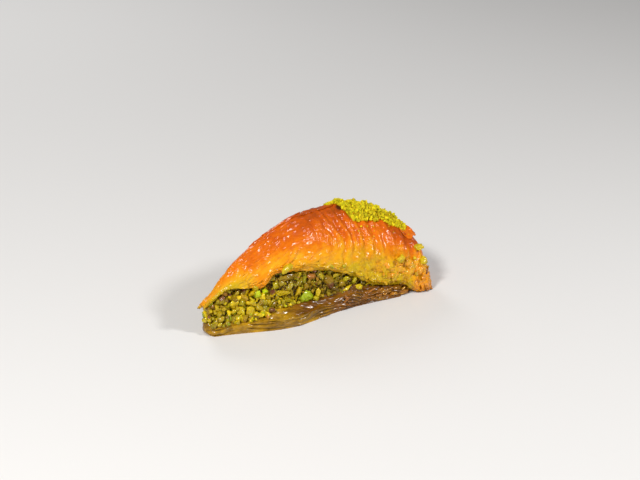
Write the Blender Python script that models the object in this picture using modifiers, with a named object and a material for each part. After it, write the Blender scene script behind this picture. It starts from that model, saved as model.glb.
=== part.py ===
# Wedge of pistachio baklava, cut from a round tray: a puffed top crust over a
# chopped-nut filling, on a bottom pack of syrup-soaked leaves.
# Metres, +Z up. The slice stands on z = 0 with its tip at -X and its rim side at +X.

import math

import bmesh
import bpy
from mathutils import Vector, noise

# ---- driving dimensions ----
MM = 0.001
SLICE_LENGTH = 125 * MM
TIP_X = -64.3 * MM  # the origin is the middle of the base
TIP_HALF_WIDTH = 3 * MM
RIM_HALF_WIDTH = 26 * MM
RIM_SAGITTA = 3 * MM  # how far the middle of the rim side stands past its corners
CREST_SIDE_SHARE = 0.22  # the crest lies this share of the half width towards +Y
CRUST_THICKNESS = 2.1 * MM
CORNER_FLARE = 2.2 * MM  # how far the hanging corners spread at their foot
CLEARANCE = 0.5 * MM  # between pieces that lie on each other

FRONT_LIP = 8.5 * MM  # the bottom leaves stand out this far past the front cut
BACK_LIP = 3.5 * MM
UNDER_CORNER = 4.9 * MM  # and draw back this far under the crust's hanging corners
LEAF_GROOVES = 4
GROOVE_DEPTH = 0.9 * MM
DUST_DEPTH = 1.7 * MM  # mean depth of the ground nuts

# The crust from the tip to the foot of the rim side, in millimetres:
# distance from the tip, height of the crest, of the front edge and of the back edge.
CRUST_PROFILE_MM = (
    (-1.5, 17.0, 16.5, 14.0),
    (6.0, 22.0, 21.5, 17.5),
    (14.0, 28.5, 24.0, 21.0),
    (24.0, 36.0, 22.0, 23.0),  # a flap of crust hangs lower here at the front
    (32.0, 40.5, 22.5, 24.0),
    (36.5, 42.5, 28.0, 25.0),
    (50.0, 47.0, 27.5, 27.0),
    (66.0, 49.5, 24.5, 27.5),
    (80.0, 49.0, 19.0, 25.5),
    (91.0, 47.5, 12.0, 21.0),
    (102.0, 42.5, 8.5, 15.0),
    (107.0, 39.0, 8.2, 12.5),
    (112.0, 35.4, 6.6, 9.0),  # the corners of the rim side hang down over the bottom leaves
    (117.0, 32.0, 0.9, 2.0),
    (121.5, 28.5, 0.8, 0.8),  # from here the crust turns down the rim side
    (124.0, 22.5, 0.8, 0.8),
    (126.5, 12.0, 0.8, 0.8),
    (126.0, 1.2, 0.8, 0.8),
)

# Top of the bottom leaves under the filling: share of the length, height in millimetres.
BOTTOM_PROFILE_MM = (
    (0.00, 5.2),
    (0.15, 7.4),
    (0.35, 8.6),
    (0.60, 8.8),
    (0.82, 7.6),
    (1.00, 6.8),
)

CRUST_GRID = (52, 18)
FILLING_GRID = (34, 9, 6)
BOTTOM_GRID = (40, 9, 8)
NUT_DUST_GRID = (26, 8, 2)


# ---- curves ----
def by_crest_length(profile):
    """The profile's rows, each led by its share of the crest's own length."""
    travelled = [0.0]
    for here, there in zip(profile, profile[1:]):
        travelled.append(travelled[-1] + math.dist(here[:2], there[:2]))
    return [(so_far / travelled[-1], *row) for so_far, row in zip(travelled, profile)]


CRUST_STATIONS = by_crest_length(CRUST_PROFILE_MM)


def through(stations, column, at):
    """A smooth curve through one column of the stations, read at a place between 0 and 1."""
    last = len(stations) - 1
    at = min(max(at, stations[0][0]), stations[last][0])
    i = next(k for k in range(last) if at <= stations[k + 1][0])

    def slope(k):
        before, after = max(k - 1, 0), min(k + 1, last)
        rise = stations[after][column] - stations[before][column]
        return rise / (stations[after][0] - stations[before][0])

    span = stations[i + 1][0] - stations[i][0]
    u = (at - stations[i][0]) / span
    low, high = stations[i][column], stations[i + 1][column]
    return (
        low * (2 * u**3 - 3 * u**2 + 1)
        + high * (3 * u**2 - 2 * u**3)
        + span * slope(i) * (u**3 - 2 * u**2 + u)
        + span * slope(i + 1) * (u**3 - u**2)
    )


def ramp(value, low, high):
    """0 below low, 1 above high, and smooth between."""
    u = min(max((value - low) / (high - low), 0.0), 1.0)
    return u * u * (3 - 2 * u)


def hump(value, centre, width):
    """A smooth hump of height 1."""
    return math.exp(-(((value - centre) / width) ** 2))


def half_width(share):
    """Half the cut width of the wedge at a share of its length."""
    return TIP_HALF_WIDTH + (RIM_HALF_WIDTH - TIP_HALF_WIDTH) * share


def lumps(point, size, seed):
    """Soft noise in [-1, 1] with lumps of about the given size."""
    return noise.noise(point / size + Vector((seed, seed * 0.37, seed * 0.11)))


# ---- the crust's surface ----
def crust_share(along):
    """Share of the slice's length at a share of the crest's length."""
    return through(CRUST_STATIONS, 1, along) * MM / SLICE_LENGTH


def crust_point(along, across):
    """A point of the outer crust: along from 0 at the tip to 1 at the foot of the rim side,
    across from -1 on the front cut to 1 on the back cut, with 0 on the crest."""
    share = crust_share(along)
    crest = through(CRUST_STATIONS, 2, along) * MM
    edge = through(CRUST_STATIONS, 3 if across < 0 else 4, along) * MM
    width = half_width(min(share, 1.0)) * (1 - 0.10 * ramp(along, 0.82, 1.0))
    crest_y = CREST_SIDE_SHARE * width * (1 - 0.8 * ramp(share, 0.84, 1.0))
    boxiness = 1.7 + 1.6 * ramp(share, 0.78, 0.97)
    angle = (1 - abs(across)) * math.pi / 2
    outward = math.cos(angle) ** (2 / boxiness)
    upward = math.sin(angle) ** (2 / boxiness)
    edge_y = math.copysign(width, across)
    y = crest_y + (edge_y - crest_y) * outward
    y += math.copysign(CORNER_FLARE * ramp(share, 0.86, 0.92) * abs(across) ** 6, across)
    x = TIP_X + share * SLICE_LENGTH
    x += RIM_SAGITTA * ramp(share, 0.5, 1.0) * (1 - (y / width) ** 2)
    return Vector((x, y, edge + (crest - edge) * upward))


def crust_normal(along, across):
    """The outward direction of the crust at a point."""
    step = 0.01
    low_a, high_a = max(along - step, 0.0), min(along + step, 1.0)
    low_c, high_c = max(across - step, -0.999), min(across + step, 0.999)
    d_along = crust_point(high_a, across) - crust_point(low_a, across)
    d_across = crust_point(along, high_c) - crust_point(along, low_c)
    return d_along.cross(d_across).normalized()


def crust_folds(along, across):
    """Height of the folds: long ones near the tip, pleats down the slope near the rim side."""
    point = crust_point(along, across)
    share = crust_share(along)
    pleated = ramp(share, 0.40, 0.66)
    long_fold = lumps(Vector((point.x * 0.35, point.y, point.z)), 6 * MM, 3.0)
    drift = 4 * MM * lumps(point, 20 * MM, 7.0)
    pleat = math.sin((point.x + drift) / (6.8 * MM) * 2 * math.pi)
    blister = hump(share, 0.84, 0.06) * hump(across, -0.55, 0.25)
    return (
        0.9 * MM * long_fold * (1 - 0.5 * pleated)
        + 0.55 * MM * pleat * pleated * (1 - 0.5 * abs(across))
        + 1.0 * MM * blister
    )


# ---- the bottom leaves' outline ----
def bottom_half_width(share, side):
    """Half width of the bottom leaves towards the front (side < 0) or the back."""
    lip = FRONT_LIP * hump(share, 0.32, 0.21) if side < 0 else BACK_LIP * hump(share, 0.5, 0.3)
    lip += 1.2 * MM - UNDER_CORNER * ramp(share, 0.865, 0.910)
    rounding = math.sqrt(max(1 - (1 - min(share / 0.035, 1.0)) ** 2, 0.0))
    return (half_width(share) + lip) * (0.6 + 0.4 * rounding)


def filling_recess(share, side):
    """How far the foot of the filling stands back from the edge of the bottom leaves."""
    front_lip = 5.5 * MM * hump(share, 0.36, 0.17) * (side < 0)
    return 3.0 * MM + front_lip + 2.0 * MM * ramp(share, 0.60, 0.80)


def bottom_height(share, y):
    """Top of the bottom leaves, which droop in front of the filling on both cut sides."""
    height = through(BOTTOM_PROFILE_MM, 1, share) * MM
    inset = bottom_half_width(share, y) - abs(y)
    droop = 0.30 + 0.10 * share
    return height * (1 - droop * ramp(-inset, -filling_recess(share, y), 0.0))


def bottom_x(share, across):
    """Distance along the slice, with the rim side bowed outwards."""
    return TIP_X + share * SLICE_LENGTH + RIM_SAGITTA * share * (1 - across * across)


# ---- helpers for objects ----
def new_material(name, colour, roughness):
    material = bpy.data.materials.new(name)
    material.use_nodes = True
    shader = material.node_tree.nodes["Principled BSDF"]
    shader.inputs["Base Color"].default_value = (*colour, 1.0)
    shader.inputs["Roughness"].default_value = roughness
    shader.inputs["Metallic"].default_value = 0.0
    return material


def add_piece(bm, name, material, collection):
    """Stores the bmesh as a named object with one material."""
    mesh = bpy.data.meshes.new(name)
    bm.to_mesh(mesh)
    bm.free()
    mesh.shade_smooth()
    mesh.materials.append(material)
    piece = bpy.data.objects.new(name, mesh)
    collection.objects.link(piece)
    return piece


def shaped_block(grid, place):
    """A block of grid cells whose corners are each moved to place(x, y, z), all from 0 to 1."""
    bm = bmesh.new()
    bmesh.ops.create_cube(bm, size=1.0)
    bmesh.ops.translate(bm, verts=bm.verts, vec=(0.5, 0.5, 0.5))
    for axis, cells in enumerate(grid):
        normal = Vector((axis == 0, axis == 1, axis == 2))
        for cut in range(1, cells):
            whole = list(bm.verts) + list(bm.edges) + list(bm.faces)
            bmesh.ops.bisect_plane(bm, geom=whole, plane_co=normal * cut / cells, plane_no=normal)
    for vertex in bm.verts:
        vertex.co = place(*vertex.co)
    bmesh.ops.recalc_face_normals(bm, faces=bm.faces)
    return bm


# ---- the pieces ----
def make_bottom(collection):
    """The stack of soaked leaves, with grooves between leaves on the cut sides and a flat base."""

    def place(x, y, z):
        share = 0.97 * x
        across = 2 * y - 1
        width_y = across * bottom_half_width(share, across)
        point = Vector((bottom_x(share, across), width_y, z * bottom_height(share, width_y)))
        on_long_side = abs(across) > 0.99
        on_end = x < 0.001 or x > 0.999
        if 0.001 < z < 0.999 and (on_long_side or on_end):
            leaf = math.cos(z * LEAF_GROOVES * 2 * math.pi)
            ragged = lumps(Vector((point.x, point.y, z * 0.05)), 10 * MM, 5.0)
            inward = GROOVE_DEPTH * (0.5 + 0.5 * leaf) + 0.7 * MM * abs(ragged)
            if on_long_side:
                point.y -= math.copysign(inward, across)
            if on_end:
                point.x += inward if x < 0.5 else -inward
        return point

    bm = shaped_block(BOTTOM_GRID, place)
    colour = new_material("soaked_leaves", (0.36, 0.19, 0.025), 0.25)
    add_piece(bm, "bottom_leaves", colour, collection)


def make_filling(collection):
    """The nut filling, from the bottom leaves up to the underside of the crust."""
    last_along = 0.835
    first_share, last_share = 0.012, 0.950
    tip, end = crust_share(0), crust_share(last_along)
    under_crust = CRUST_THICKNESS + CLEARANCE + 1.3 * MM

    def place(x, y, z):
        along = last_along * x
        side = 2 * y - 1
        roof = crust_point(along, side * 0.93)
        roof -= crust_normal(along, side * 0.93) * under_crust
        reached = (crust_share(along) - tip) / (end - tip)
        share = first_share + (last_share - first_share) * reached
        foot_width = bottom_half_width(share, side) - filling_recess(share, side)
        foot = Vector((bottom_x(share, side), side * foot_width, 0))
        foot.z = bottom_height(share, foot.y) + CLEARANCE
        roof.x = max(roof.x, foot.x)
        roof.z = max(roof.z, foot.z + 1.5 * MM)
        point = foot.lerp(roof, z)
        on_long_side = abs(side) > 0.99
        if 0.001 < z < 0.999 and (on_long_side or x < 0.001):
            lump = 1.3 * MM * lumps(point, 5.5 * MM, 2.0) + 0.6 * MM * lumps(point, 2.5 * MM, 4.0)
            if on_long_side:
                point.y += math.copysign(lump, side)
            else:
                point.x -= abs(lump)
        return point

    bm = shaped_block(FILLING_GRID, place)
    colour = new_material("chopped_pistachio", (0.23, 0.27, 0.02), 0.5)
    add_piece(bm, "pistachio_filling", colour, collection)


def make_crust(collection):
    """The puffed crust: an open folded surface, thickened inwards."""
    columns, rows = CRUST_GRID
    bm = bmesh.new()
    bmesh.ops.create_grid(bm, x_segments=columns, y_segments=rows, size=0.5)
    for vertex in bm.verts:
        along = vertex.co.x + 0.5
        across = 2 * vertex.co.y * 0.999
        folds = crust_folds(along, across) * ramp(1 - abs(across), 0.0, 0.15)
        vertex.co = crust_point(along, across) + crust_normal(along, across) * folds
    piece = add_piece(bm, "top_crust", new_material("baked_crust", (0.80, 0.30, 0.03), 0.3), collection)
    wall = piece.modifiers.new("wall", "SOLIDIFY")
    wall.thickness = CRUST_THICKNESS
    wall.offset = -1.0


def make_nut_dust(collection):
    """Ground nuts strewn along the crest and down to the rim side, out to their uneven outline."""

    def place(x, y, z):
        along = 0.538 + 0.292 * x
        side = 2 * y - 1
        front = 0.07 - 0.46 * ramp(x, -0.05, 0.45) + 0.26 * ramp(x, 0.82, 1.0)
        back = 0.13 + 0.20 * math.sin(math.pi * x)
        across = (front + back) / 2 + side * (back - front) / 2
        normal = crust_normal(along, across)
        base = crust_point(along, across) + normal * (crust_folds(along, across) + 2 * CLEARANCE)
        heap = math.sqrt(max(1 - side**2, 0.0) * max(1 - (2 * x - 1) ** 4, 0.0))
        uneven = 1 + 0.6 * lumps(base, 4 * MM, 9.0)
        return base + normal * z * (0.6 * MM + DUST_DEPTH * heap * uneven)

    bm = shaped_block(NUT_DUST_GRID, place)
    colour = new_material("ground_pistachio", (0.55, 0.52, 0.03), 0.9)
    add_piece(bm, "ground_pistachio", colour, collection)


def build():
    for existing in list(bpy.data.objects):
        bpy.data.objects.remove(existing, do_unlink=True)
    collection = bpy.data.collections.new("baklava_slice")
    bpy.context.scene.collection.children.link(collection)
    make_bottom(collection)
    make_filling(collection)
    make_crust(collection)
    make_nut_dust(collection)


build()
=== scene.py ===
# Wedge of pistachio baklava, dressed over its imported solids: crust leaves, chopped nuts,
# soaked bottom leaves and ground nuts, all as meshes in metres with +Z up.
import math
import random

import bmesh
import bpy
from mathutils import Euler, Matrix, Vector, noise


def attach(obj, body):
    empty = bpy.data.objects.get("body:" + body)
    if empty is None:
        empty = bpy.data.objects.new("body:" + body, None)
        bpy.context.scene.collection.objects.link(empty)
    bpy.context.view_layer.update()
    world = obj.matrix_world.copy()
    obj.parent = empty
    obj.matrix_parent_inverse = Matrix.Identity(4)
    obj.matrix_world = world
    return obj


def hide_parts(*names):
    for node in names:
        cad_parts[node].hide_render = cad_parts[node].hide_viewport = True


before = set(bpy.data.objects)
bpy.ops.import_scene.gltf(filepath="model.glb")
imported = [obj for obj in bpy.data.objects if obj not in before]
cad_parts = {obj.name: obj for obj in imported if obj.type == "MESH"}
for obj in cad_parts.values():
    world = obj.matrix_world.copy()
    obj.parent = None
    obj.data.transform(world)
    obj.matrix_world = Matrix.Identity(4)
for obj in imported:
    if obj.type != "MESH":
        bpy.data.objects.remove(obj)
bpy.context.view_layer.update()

mm = 0.001
sheetCollection = bpy.context.scene.collection

# The slice's own form, the same as its solids have.
sliceForm = {
    "length": 125 * mm,
    "tipX": -64.3 * mm,
    "tipHalfWidth": 3 * mm,
    "rimHalfWidth": 26 * mm,
    "rimBow": 3 * mm,
    "crestSide": 0.22,
    "cornerFlare": 2.2 * mm,
    "frontLip": 8.5 * mm,
    "backLip": 3.5 * mm,
    "underCorner": 4.9 * mm,
    # distance from the tip, height of the crest, of the front edge and of the back edge, in millimetres
    "crustRows": (
        (-1.5, 17.0, 16.5, 14.0),
        (6.0, 22.0, 21.5, 17.5),
        (14.0, 28.5, 24.0, 21.0),
        (24.0, 36.0, 22.0, 23.0),
        (32.0, 40.5, 22.5, 24.0),
        (36.5, 42.5, 28.0, 25.0),
        (50.0, 47.0, 27.5, 27.0),
        (66.0, 49.5, 24.5, 27.5),
        (80.0, 49.0, 19.0, 25.5),
        (91.0, 47.5, 12.0, 21.0),
        (102.0, 42.5, 8.5, 15.0),
        (107.0, 39.0, 8.2, 12.5),
        (112.0, 35.4, 6.6, 9.0),
        (117.0, 32.0, 0.9, 2.0),
        (121.5, 28.5, 0.8, 0.8),
        (124.0, 22.5, 0.8, 0.8),
        (126.5, 12.0, 0.8, 0.8),
        (126.0, 1.2, 0.8, 0.8),
    ),
    # share of the length, height of the bottom leaves in millimetres
    "bottomRows": ((0.00, 5.2), (0.15, 7.4), (0.35, 8.6), (0.60, 8.8), (0.82, 7.6), (1.00, 6.8)),
}


def byCrestLength(rows):
    travelled = [0.0]
    for here, there in zip(rows, rows[1:]):
        travelled.append(travelled[-1] + math.dist(here[:2], there[:2]))
    sliceForm["crestLength"] = travelled[-1] * mm
    return [(soFar / travelled[-1], *row) for soFar, row in zip(travelled, rows)]


crustStations = byCrestLength(sliceForm["crustRows"])


def through(stations, column, at):
    # a smooth curve through one column of the stations
    last = len(stations) - 1
    at = min(max(at, stations[0][0]), stations[last][0])
    i = next(k for k in range(last) if at <= stations[k + 1][0])

    def slope(k):
        before, after = max(k - 1, 0), min(k + 1, last)
        rise = stations[after][column] - stations[before][column]
        return rise / (stations[after][0] - stations[before][0])

    span = stations[i + 1][0] - stations[i][0]
    u = (at - stations[i][0]) / span
    low, high = stations[i][column], stations[i + 1][column]
    return (
        low * (2 * u**3 - 3 * u**2 + 1)
        + high * (3 * u**2 - 2 * u**3)
        + span * slope(i) * (u**3 - 2 * u**2 + u)
        + span * slope(i + 1) * (u**3 - u**2)
    )


def ramp(value, low, high):
    u = min(max((value - low) / (high - low), 0.0), 1.0)
    return u * u * (3 - 2 * u)


def hump(value, centre, width):
    return math.exp(-(((value - centre) / width) ** 2))


def lumps(point, size, seed):
    return noise.noise(point / size + Vector((seed, seed * 0.37, seed * 0.11)))


def creases(point, size, seed):
    # narrow ridges, from -1 between them to 1 on them
    return 1 - 4 * abs(lumps(point, size, seed))


def halfWidth(share):
    return sliceForm["tipHalfWidth"] + (sliceForm["rimHalfWidth"] - sliceForm["tipHalfWidth"]) * share


# The crust's surface: along from 0 at the tip to 1 at the foot of the rim side,
# across from -1 on the front cut to 1 on the back cut.
def crustColumn(along):
    share = through(crustStations, 1, along) * mm / sliceForm["length"]
    width = halfWidth(min(share, 1.0)) * (1 - 0.10 * ramp(along, 0.82, 1.0))
    return {
        "share": share,
        "crest": through(crustStations, 2, along) * mm,
        "front": through(crustStations, 3, along) * mm,
        "back": through(crustStations, 4, along) * mm,
        "width": width,
        "crestY": sliceForm["crestSide"] * width * (1 - 0.8 * ramp(share, 0.84, 1.0)),
        "flare": sliceForm["cornerFlare"] * ramp(share, 0.86, 0.92),
        "boxiness": 1.7 + 1.6 * ramp(share, 0.78, 0.97),
    }


def crustPoint(column, across):
    edge = column["front"] if across < 0 else column["back"]
    angle = (1 - abs(across)) * math.pi / 2
    outward = math.cos(angle) ** (2 / column["boxiness"])
    upward = math.sin(angle) ** (2 / column["boxiness"])
    y = column["crestY"] + (math.copysign(column["width"], across) - column["crestY"]) * outward
    y += math.copysign(column["flare"] * abs(across) ** 6, across)
    x = sliceForm["tipX"] + column["share"] * sliceForm["length"]
    x += sliceForm["rimBow"] * ramp(column["share"], 0.5, 1.0) * (1 - (y / column["width"]) ** 2)
    return Vector((x, y, edge + (column["crest"] - edge) * upward))


def crustNormal(along, across):
    step = 0.01
    lowAlong, highAlong = crustColumn(max(along - step, 0.0)), crustColumn(min(along + step, 1.0))
    here = crustColumn(along)
    lowAcross, highAcross = max(across - step, -0.999), min(across + step, 0.999)
    alongStep = crustPoint(highAlong, across) - crustPoint(lowAlong, across)
    acrossStep = crustPoint(here, highAcross) - crustPoint(here, lowAcross)
    return alongStep.cross(acrossStep).normalized()


def crustFolds(share, across, point):
    # the large folds that the solid has too
    pleated = ramp(share, 0.40, 0.66)
    longFold = lumps(Vector((point.x * 0.35, point.y, point.z)), 6 * mm, 3.0)
    drift = 4 * mm * lumps(point, 20 * mm, 7.0)
    pleat = math.sin((point.x + drift) / (6.8 * mm) * 2 * math.pi)
    blister = hump(share, 0.84, 0.06) * hump(across, -0.55, 0.25)
    return (
        0.9 * mm * longFold * (1 - 0.5 * pleated)
        + 0.55 * mm * pleat * pleated * (1 - 0.5 * abs(across)) * (0.3 + 0.7 * ramp(abs(across), 0.10, 0.40))
        + 1.0 * mm * blister
    )


def bottomHalfWidth(share, side):
    if side < 0:
        lip = sliceForm["frontLip"] * hump(share, 0.32, 0.21)
    else:
        lip = sliceForm["backLip"] * hump(share, 0.5, 0.3)
    lip += 1.2 * mm - sliceForm["underCorner"] * ramp(share, 0.865, 0.910)
    rounding = math.sqrt(max(1 - (1 - min(share / 0.035, 1.0)) ** 2, 0.0))
    return (halfWidth(share) + lip) * (0.6 + 0.4 * rounding)


def fillingRecess(share, side):
    frontLip = 5.5 * mm * hump(share, 0.36, 0.17) * (side < 0)
    return 3.0 * mm + frontLip + 2.0 * mm * ramp(share, 0.60, 0.80)


def bottomHeight(share, y):
    height = through(sliceForm["bottomRows"], 1, share) * mm
    inset = bottomHalfWidth(share, y) - abs(y)
    droop = 0.30 + 0.10 * share
    return height * (1 - droop * ramp(-inset, -fillingRecess(share, y), 0.0))


def bottomX(share, across):
    return sliceForm["tipX"] + share * sliceForm["length"] + sliceForm["rimBow"] * share * (1 - across**2)


# The filling's surface: x from the tip to the rim side, side from -1 to 1, z from its foot to its roof.
fillingForm = {"lastAlong": 0.835, "firstShare": 0.012, "lastShare": 0.950, "underCrust": 3.9 * mm}


def fillingPoint(x, side, z, inset=0.0):
    along = fillingForm["lastAlong"] * x
    column = crustColumn(along)
    roof = crustPoint(column, side * 0.93) - crustNormal(along, side * 0.93) * (fillingForm["underCrust"] + inset)
    tip = crustStations[0][1] * mm / sliceForm["length"]
    end = through(crustStations, 1, fillingForm["lastAlong"]) * mm / sliceForm["length"]
    reached = (column["share"] - tip) / (end - tip)
    share = fillingForm["firstShare"] + (fillingForm["lastShare"] - fillingForm["firstShare"]) * reached
    footWidth = max(bottomHalfWidth(share, side) - fillingRecess(share, side) - inset, 0.4 * mm)
    foot = Vector((bottomX(share, side), side * footWidth, 0))
    foot.z = bottomHeight(share, foot.y)
    roof.x = max(roof.x, foot.x)
    roof.z = max(roof.z, foot.z + 1.5 * mm)
    point = foot.lerp(roof, z)
    if x < 0.001:
        point.x += inset
    return point


# Shared helpers for pieces.
def addPiece(bm, name, material, sharpAngle=None):
    mesh = bpy.data.meshes.new(name)
    bm.to_mesh(mesh)
    bm.free()
    mesh.shade_smooth()
    if sharpAngle:
        mesh.set_sharp_from_angle(angle=math.radians(sharpAngle))
    mesh.materials.append(material)
    piece = bpy.data.objects.new(name, mesh)
    sheetCollection.objects.link(piece)
    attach(piece, "root")
    print(name, len(mesh.polygons), "faces")
    return piece


def addThickness(piece, thickness):
    wall = piece.modifiers.new("thickness", "SOLIDIFY")
    wall.thickness = thickness
    wall.offset = -1.0
    return wall


def shapedBlock(grid, place):
    bm = bmesh.new()
    bmesh.ops.create_cube(bm, size=1.0)
    bmesh.ops.translate(bm, verts=bm.verts, vec=(0.5, 0.5, 0.5))
    for axis, cells in enumerate(grid):
        normal = Vector((axis == 0, axis == 1, axis == 2))
        for cut in range(1, cells):
            whole = list(bm.verts) + list(bm.edges) + list(bm.faces)
            bmesh.ops.bisect_plane(bm, geom=whole, plane_co=normal * cut / cells, plane_no=normal)
    for vertex in bm.verts:
        vertex.co = place(*vertex.co)
    bmesh.ops.recalc_face_normals(bm, faces=bm.faces)
    return bm


# Shared helpers for materials.
def newMaterial(name, roughness, coat, coatRoughness, subsurface=0.0, specular=0.2):
    material = bpy.data.materials.new(name)
    material.use_nodes = True
    shader = material.node_tree.nodes["Principled BSDF"]
    shader.inputs["Roughness"].default_value = roughness
    shader.inputs["Specular IOR Level"].default_value = specular
    shader.inputs["Coat Weight"].default_value = coat
    shader.inputs["Coat Roughness"].default_value = coatRoughness
    shader.inputs["Coat IOR"].default_value = 1.45
    shader.inputs["Subsurface Weight"].default_value = subsurface
    shader.inputs["Subsurface Radius"].default_value = (1.0, 0.45, 0.08)
    shader.inputs["Subsurface Scale"].default_value = 2 * mm
    return material, material.node_tree, shader


def addNode(tree, kind, values=None, **settings):
    node = tree.nodes.new(kind)
    for key, value in settings.items():
        setattr(node, key, value)
    for socket, value in (values or {}).items():
        node.inputs[socket].default_value = value
    return node


def addRamp(tree, factor, stops):
    node = tree.nodes.new("ShaderNodeValToRGB")
    elements = node.color_ramp.elements
    while len(elements) < len(stops):
        elements.new(0.5)
    for element, (place, colour) in zip(elements, stops):
        element.position = place
        element.color = (*colour, 1.0)
    tree.links.new(factor, node.inputs["Fac"])
    return node.outputs["Color"]


def mixColours(tree, factor, first, second, blend="MIX"):
    node = addNode(tree, "ShaderNodeMix", data_type="RGBA", blend_type=blend)
    for index, value in ((0, factor), (6, first), (7, second)):
        if isinstance(value, bpy.types.NodeSocket):
            tree.links.new(value, node.inputs[index])
        elif index:
            node.inputs[index].default_value = (*value, 1.0)
        else:
            node.inputs[index].default_value = value
    return node.outputs[2]


def attribute(tree, name, output="Fac"):
    return addNode(tree, "ShaderNodeAttribute", attribute_name=name).outputs[output]


def makeMottleGroup():
    # uneven patches and grains from one noise, as a mask from 0 to 1
    group = bpy.data.node_groups.new("mottle", "ShaderNodeTree")
    inputs = (("Patch Size", 4.0), ("Low", 0.35), ("High", 0.65), ("Stretch", 1.0), ("Detail", 4.0))
    for name, default in inputs:
        socket = group.interface.new_socket(name, in_out="INPUT", socket_type="NodeSocketFloat")
        socket.default_value = default
    group.interface.new_socket("Mask", in_out="OUTPUT", socket_type="NodeSocketFloat")
    given = group.nodes.new("NodeGroupInput")
    put = group.nodes.new("NodeGroupOutput")
    coordinates = group.nodes.new("ShaderNodeTexCoord")
    stretch = group.nodes.new("ShaderNodeCombineXYZ")
    stretch.inputs["Y"].default_value = 1.0
    stretch.inputs["Z"].default_value = 1.0
    scaled = addNode(group, "ShaderNodeVectorMath", operation="MULTIPLY")
    scale = addNode(group, "ShaderNodeMath", operation="DIVIDE", values={0: 1000.0})
    pattern = addNode(group, "ShaderNodeTexNoise", values={"Roughness": 0.6})
    spread = addNode(group, "ShaderNodeMapRange", interpolation_type="SMOOTHSTEP")
    links = group.links
    links.new(given.outputs["Stretch"], stretch.inputs["X"])
    links.new(coordinates.outputs["Object"], scaled.inputs[0])
    links.new(stretch.outputs["Vector"], scaled.inputs[1])
    links.new(given.outputs["Patch Size"], scale.inputs[1])
    links.new(given.outputs["Detail"], pattern.inputs["Detail"])
    links.new(scaled.outputs["Vector"], pattern.inputs["Vector"])
    links.new(scale.outputs["Value"], pattern.inputs["Scale"])
    links.new(pattern.outputs["Fac"], spread.inputs["Value"])
    links.new(given.outputs["Low"], spread.inputs["From Min"])
    links.new(given.outputs["High"], spread.inputs["From Max"])
    links.new(spread.outputs["Result"], put.inputs["Mask"])
    return group


mottleGroup = makeMottleGroup()


def mottle(tree, patchSize, low=0.35, high=0.65, stretch=1.0, detail=4.0):
    values = {"Patch Size": patchSize, "Low": low, "High": high, "Stretch": stretch, "Detail": detail}
    return addNode(tree, "ShaderNodeGroup", values, node_tree=mottleGroup).outputs["Mask"]


def mixValues(tree, factor, first, second):
    node = addNode(tree, "ShaderNodeMix", data_type="FLOAT")
    for index, socket in ((0, factor), (2, first), (3, second)):
        tree.links.new(socket, node.inputs[index])
    return node.outputs[0]


def addBump(tree, shader, height, depth, strength=1.0):
    # the glaze follows the same small relief as what it covers
    bump = addNode(tree, "ShaderNodeBump", values={"Strength": strength, "Distance": depth})
    tree.links.new(height, bump.inputs["Height"])
    tree.links.new(bump.outputs["Normal"], shader.inputs["Normal"])
    tree.links.new(bump.outputs["Normal"], shader.inputs["Coat Normal"])


# The crust.
crust = {
    "cells": (258, 186),
    "leafThickness": 0.45 * mm,
    "innerCells": (220, 40),
    "innerLeaves": ((0.60, 1.70), (1.15, 0.50), (1.75, 2.20)),  # depth below the outer leaf, drop of the edge, in mm
    "wrinkleDepth": 0.34 * mm,
    "pleatWidth": 4.7 * mm,
    "pleatDepth": 0.30 * mm,
    "crumbDepth": 0.95 * mm,
    "paleGold": (0.88, 0.45, 0.018),
    "gold": (0.86, 0.31, 0.005),
    "amber": (0.74, 0.160, 0.001),
    "orange": (0.57, 0.090, 0.001),
    "brown": (0.30, 0.050, 0.002),
    "speck": (0.26, 0.105, 0.004),
    "burnt": (0.07, 0.012, 0.002),
    "soaked": (0.60, 0.385, 0.006),
}


def makeCrustMaterial():
    material, tree, shader = newMaterial("glazedCrust", 0.45, 0.62, 0.18, 0.06, 0.04)
    patches = mottle(tree, 3.0, 0.30, 0.70)
    shift = addNode(tree, "ShaderNodeMath", operation="MULTIPLY_ADD", values={1: 0.08})
    tree.links.new(patches, shift.inputs[0])
    lowered = addNode(tree, "ShaderNodeMath", operation="SUBTRACT", values={1: 0.04})
    tree.links.new(attribute(tree, "browning"), lowered.inputs[0])
    tree.links.new(lowered.outputs[0], shift.inputs[2])
    baked = addRamp(
        tree,
        shift.outputs[0],
        (
            (0.00, crust["paleGold"]),
            (0.22, crust["gold"]),
            (0.44, crust["amber"]),
            (0.66, crust["orange"]),
            (0.86, crust["brown"]),
            (1.00, crust["burnt"]),
        ),
    )
    wet = mixColours(tree, attribute(tree, "soaking"), baked, crust["soaked"])
    specks = addNode(tree, "ShaderNodeMath", operation="MULTIPLY")
    tree.links.new(mottle(tree, 1.5, 0.50, 0.66), specks.inputs[0])
    tree.links.new(attribute(tree, "crumbly"), specks.inputs[1])
    speckled = mixColours(tree, specks.outputs[0], wet, crust["speck"])
    tree.links.new(speckled, shader.inputs["Base Color"])
    lengthwise = mottle(tree, 2.0, 0.30, 0.70, 0.35, 1.0)
    upright = mottle(tree, 3.2, 0.30, 0.70, 2.0, 1.5)
    wrinkled = mixValues(tree, attribute(tree, "pleats"), lengthwise, upright)
    clusters = addNode(tree, "ShaderNodeMath", {1: 0.85, 2: 0.15}, operation="MULTIPLY_ADD")
    tree.links.new(mottle(tree, 9.0, 0.40, 0.60, 1.0, 1.0), clusters.inputs[0])
    height = addNode(tree, "ShaderNodeMath", operation="MULTIPLY")
    tree.links.new(wrinkled, height.inputs[0])
    tree.links.new(clusters.outputs[0], height.inputs[1])
    addBump(tree, shader, height.outputs[0], 0.35 * mm, 0.9)
    return material


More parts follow.
